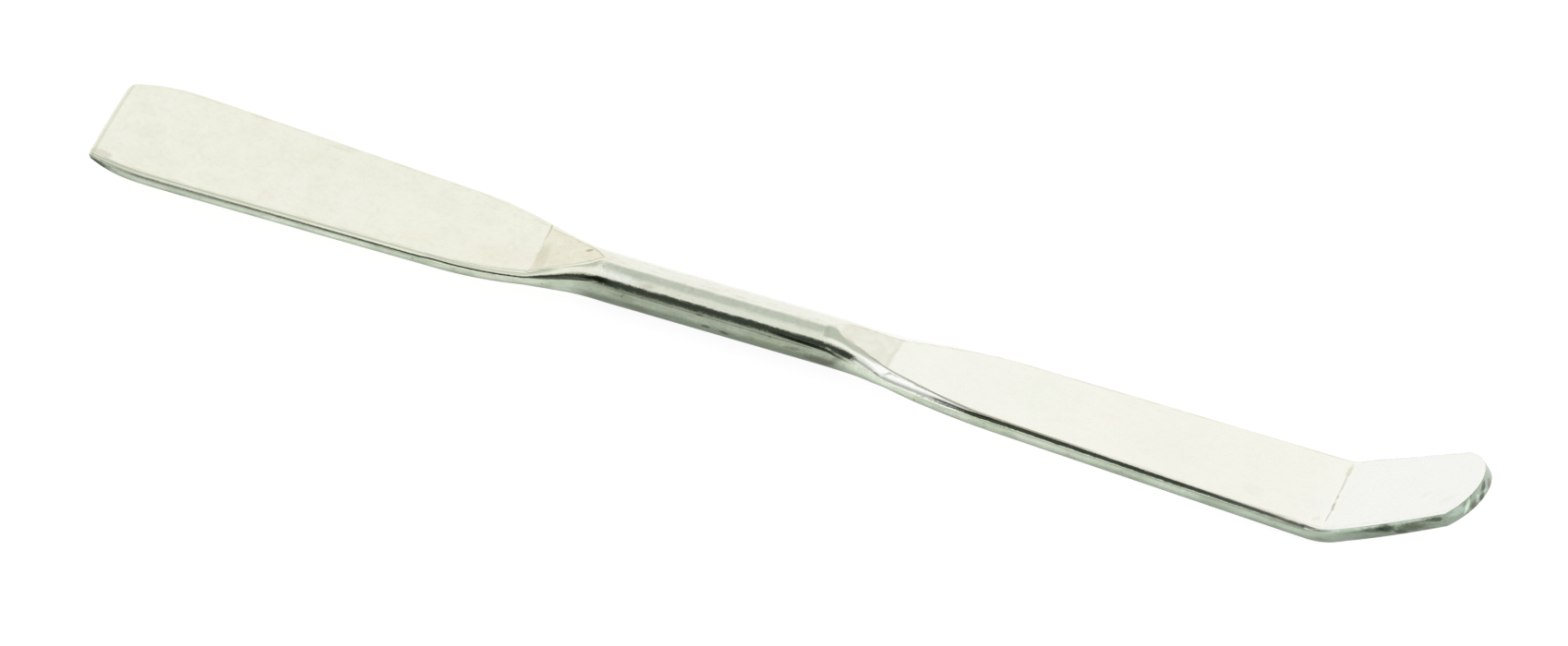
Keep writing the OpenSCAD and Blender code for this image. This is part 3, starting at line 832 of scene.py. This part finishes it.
    def base_colour(self):
        """The flats and the sides together, with the marks on each."""
        nodes, closing = self.nodes, self.closing
        flat = self.scratches(self.ramps(self.flats()))
        flat = self.stained(flat, FACE_MARKS, self.flat_place, self.on_flat)
        base = nodes.mix(self.painted_shade_sides.at_least(closing.rise(0.4, 0.5)), flat, self.sides())
        base = self.edge_painted_light(base)
        edge_place = nodes.vector(self.s, self.edge * (BLADE_ARC + (ROD_ARC - BLADE_ARC) * self.on_rod), 0)
        on_front = self.on_edge * (1 - closing.rise(0.4, 0.6)) * self.in_front
        base = self.stained(base, EDGE_MARKS, edge_place, on_front)
        at_end = self.s.rise(110, 111) * closing.rise(0.2, 0.4)
        return self.stained(base, END_MARKS, nodes.vector(self.y, self.z, 0), at_end)

    def roughness(self):
        """Satin flats, a polished rod and edges, and edges roughened by wear towards both ends."""
        metal, s = self.settings, self.s
        shiny = self.on_edge.at_least(self.on_rod)
        gloss = metal.flat_roughness + (metal.polished_roughness - metal.flat_roughness) * shiny
        wear_and_highlight = self.on_edge * ((1 - s.rise(8, 34)) * 0.2 + s.rise(92, 105) * 0.12)
        uneven = (self.cloudy - 0.5) * 0.1 + (self.streaks - 0.5) * 0.1
        return (gloss + uneven + self.painted_shade_sides * 0.12 + wear_and_highlight).clamp(0.04, 1)

    def relief(self):
        """Scratches and waves. The blades' edges also lean a little more to the front."""
        nodes, metal, s = self.nodes, self.settings, self.s
        shiny = self.on_edge.at_least(self.on_rod)
        ripples = nodes.noise(nodes.vector(s * 0.6, self.y, self.z), 1.4, 2, 9)
        fine = (self.grain * 0.2 + self.streaks * 0.25 + self.hairlines * 0.12) * (0.3 + 0.7 * shiny)
        lean = s.rise(67, 74) * (0.2 - 0.12 * s.rise(74, 77.5)) * (1 - s.rise(102, 106))
        lean = (lean + s.within(30.5, 38, 2.5) * 0.12) * self.in_front * self.on_edge
        height = fine + self.cloudy * (0.25 + 0.35 * shiny) + ripples * 1.1
        height = height + lean * (0.85 - self.edge) * (metal.edge_l / metal.unevenness)
        return nodes.node("ShaderNodeBump", {}, {
            "Strength": 1, "Distance": metal.unevenness, "Height": height})


def metal_material(settings):
    """Worn nickel: satin stained flats, a brighter rod, and darker mottled sides and ground ends, whose
    darkness is partly painted shade.
    """
    material = bpy.data.materials.new("worn_nickel")
    material.use_nodes = True
    tree = material.node_tree
    tree.nodes.clear()
    nodes = Nodes(tree)
    metal = Metal(nodes, settings)
    shared = {"Base Color": metal.base_colour(), "Metallic": 1, "Roughness": metal.roughness(),
              "Normal": metal.relief()}
    # painted shade: the sides in front also keep a dimmer glancing reflection where they turn away
    clear, dim = (nodes.node("ShaderNodeBsdfPrincipled", {}, {
        **shared, "Specular Tint": (glancing, glancing, glancing, 1)}) for glancing in (1, 0.6))
    shader = nodes.node("ShaderNodeMixShader", {}, {0: metal.painted_shade_sides * metal.in_front, 1: clear, 2: dim})
    nodes.node("ShaderNodeOutputMaterial", {}, {"Surface": shader})
    return material


# ---------------------------------------------------------------- the studio

# The studio's light in degrees above the front horizon, over the top to the back
DARK = (0.043, 0.054, 0.04)
PALE = (0.80, 0.83, 0.775)
CEILING = (0.545, 0.595, 0.53)
SOFTBOX = (1, 1, 1)
FRONT_LIGHT = [(0, (0.62, 0.66, 0.6)), (6, DARK), (36, DARK), (42, PALE), (64, PALE),
               (82, CEILING), (106, CEILING), (119, SOFTBOX), (178, SOFTBOX)]
LEFT_LIGHT = [(0, (1, 1, 1)), (9, (0.9, 0.91, 0.89)), (22, (0.5, 0.52, 0.48)),
              (38, (0.44, 0.46, 0.42)), (50, (0.68, 0.7, 0.66)), (64, (0.92, 0.93, 0.9)),
              (76, SOFTBOX), (178, SOFTBOX)]
RIGHT_LIGHT = [(0, (0.72, 0.76, 0.7)), (8, (0.55, 0.58, 0.53)), (17, DARK), (28, DARK),
               (36, (0.6, 0.61, 0.57)), (43, (0.95, 0.96, 0.93)), (60, SOFTBOX), (178, SOFTBOX)]


def strip(stops):
    """A ramp's stops, from angles of the whole circle."""
    return [(angle / 360 + 0.5, colour) for angle, colour in stops]


def studio_world():
    """Light by direction: a wide pale light behind, and a dark place around the camera."""
    world = bpy.data.worlds.new("studio")
    world.use_nodes = True
    tree = world.node_tree
    tree.nodes.clear()
    nodes = Nodes(tree)
    toward = nodes.node("ShaderNodeTexCoord", {}, {}, "Generated")
    parts = nodes.node("ShaderNodeSeparateXYZ", {}, {0: toward})
    x, y, z = parts["X"], parts["Y"], parts["Z"]
    rise = z.math("ARCTAN2", -y) / DEG
    # to the left, the front's strips sit lower, and they end along a slant
    lower = rise + (-0.3 - x).at_least(0) * 120
    left, front, right = (
        nodes.node("ShaderNodeValToRGB", {"stops": strip(stops)}, {0: angle / 360 + 0.5})
        for stops, angle in ((LEFT_LIGHT, rise), (FRONT_LIGHT, lower), (RIGHT_LIGHT, rise)))
    light = nodes.mix((x - rise.at_most(76) * 0.0012).rise(-0.435, -0.42), left, front)
    light = nodes.mix(x.rise(-0.275, -0.25), light, right)
    seen = nodes.node("ShaderNodeLightPath", {}, {}, "Is Camera Ray")
    shown = nodes.mix(seen, light, (1, 1, 1, 1))
    background = nodes.node("ShaderNodeBackground", {}, {"Color": shown, "Strength": 1})
    nodes.node("ShaderNodeOutputWorld", {}, {"Surface": background})
    bpy.context.scene.world = world


def floor_material(shadow):
    """White to the camera and in reflections, with a share that takes the spatula's shadow."""
    material = bpy.data.materials.new("pale_floor")
    material.use_nodes = True
    tree = material.node_tree
    tree.nodes.clear()
    nodes = Nodes(tree)
    path = nodes.node("ShaderNodeLightPath")
    seen = path["Is Camera Ray"].at_least(path["Is Glossy Ray"]).at_least(path["Is Transmission Ray"])
    plain = nodes.node("ShaderNodeBsdfDiffuse", {}, {"Color": (0.93, 0.93, 0.93, 1)})
    white = nodes.node("ShaderNodeEmission", {}, {"Color": (1, 1, 1, 1), "Strength": 1.08})
    shader = nodes.node("ShaderNodeMixShader", {}, {0: seen * (1 - shadow), 1: plain, 2: white})
    nodes.node("ShaderNodeOutputMaterial", {}, {"Surface": shader})
    return material


def floor(width, shadow):
    """A square table top around the spatula."""
    half = width / 2
    mesh = bpy.data.meshes.new("floor")
    mesh.from_pydata([(-half, -half, 0), (half, -half, 0), (half, half, 0), (-half, half, 0)], [],
                     [(0, 1, 2, 3)])
    mesh.materials.append(floor_material(shadow))
    made = bpy.data.objects.new("floor", mesh)
    bpy.context.scene.collection.objects.link(made)


def camera(settings):
    """A camera without perspective, placed by its angles and the view's middle."""
    a, e, roll = settings.azimuth, settings.elevation, settings.roll
    back = Vector((math.sin(a) * math.cos(e), -math.cos(a) * math.cos(e), math.sin(e)))
    level = Vector((math.cos(a), math.sin(a), 0))
    upright = back.cross(level)
    right = math.cos(roll) * level + math.sin(roll) * upright
    up = back.cross(right)
    data = bpy.data.cameras.new("camera")
    data.type = "ORTHO"
    data.ortho_scale = settings.view_w
    data.clip_start = settings.distance / 10
    data.clip_end = settings.distance * 10
    made = bpy.data.objects.new("camera", data)
    turned = Matrix((right, up, back)).transposed().to_4x4()
    middle = right * settings.view_x + up * settings.view_y
    made.matrix_world = Matrix.Translation(middle + back * settings.distance) @ turned
    bpy.context.scene.collection.objects.link(made)
    bpy.context.scene.camera = made


# ---------------------------------------------------------------- operators and panel

class SPATULA_OT_body(bpy.types.Operator):
    """Makes the spatula's metal body around the frame's node"""
    bl_idname = "spatula.body"
    bl_label = "Make Spatula"

    def execute(self, context):
        scene = context.scene
        counts = {name: getattr(scene.spatula_mesh, name) for name in SpatulaMesh.__annotations__}
        piece = grown("spatula_body", scene.spatula_sizes, counts, metal_material(scene.spatula_metal))
        lay_to_rest(piece, scene.spatula_sizes.square_lean)
        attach(piece, "root")
        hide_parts("spatula")
        return {"FINISHED"}


class SPATULA_OT_stage(bpy.types.Operator):
    """Makes the floor, the light and the camera"""
    bl_idname = "spatula.stage"
    bl_label = "Make Stage"

    def execute(self, context):
        settings = context.scene.spatula_studio
        studio_world()
        floor(settings.floor_w, settings.shadow)
        camera(settings)
        context.scene.view_settings.view_transform = "Standard"
        return {"FINISHED"}


class SPATULA_PT_panel(bpy.types.Panel):
    """Lists the operators and the settings"""
    bl_label = "Spatula"
    bl_idname = "SPATULA_PT_panel"
    bl_space_type = "VIEW_3D"
    bl_region_type = "UI"
    bl_category = "Spatula"

    def draw(self, context):
        self.layout.operator(SPATULA_OT_stage.bl_idname)
        self.layout.operator(SPATULA_OT_body.bl_idname)
        for settings in SETTINGS:
            group = getattr(context.scene, settings)
            for name in group.__annotations__:
                self.layout.prop(group, name)


SETTINGS = {
    "spatula_sizes": SpatulaSizes,
    "spatula_mesh": SpatulaMesh,
    "spatula_metal": SpatulaMetal,
    "spatula_studio": SpatulaStudio,
}
CLASSES = (*SETTINGS.values(), SPATULA_OT_body, SPATULA_OT_stage, SPATULA_PT_panel)


def register():
    for cls in CLASSES:
        bpy.utils.register_class(cls)
    for name, cls in SETTINGS.items():
        setattr(bpy.types.Scene, name, PointerProperty(type=cls))


def unregister():
    for name in SETTINGS:
        delattr(bpy.types.Scene, name)
    for cls in reversed(CLASSES):
        bpy.utils.unregister_class(cls)


def main():
    register()
    bpy.ops.spatula.stage()
    bpy.ops.spatula.body()


if __name__ == "__main__":
    main()
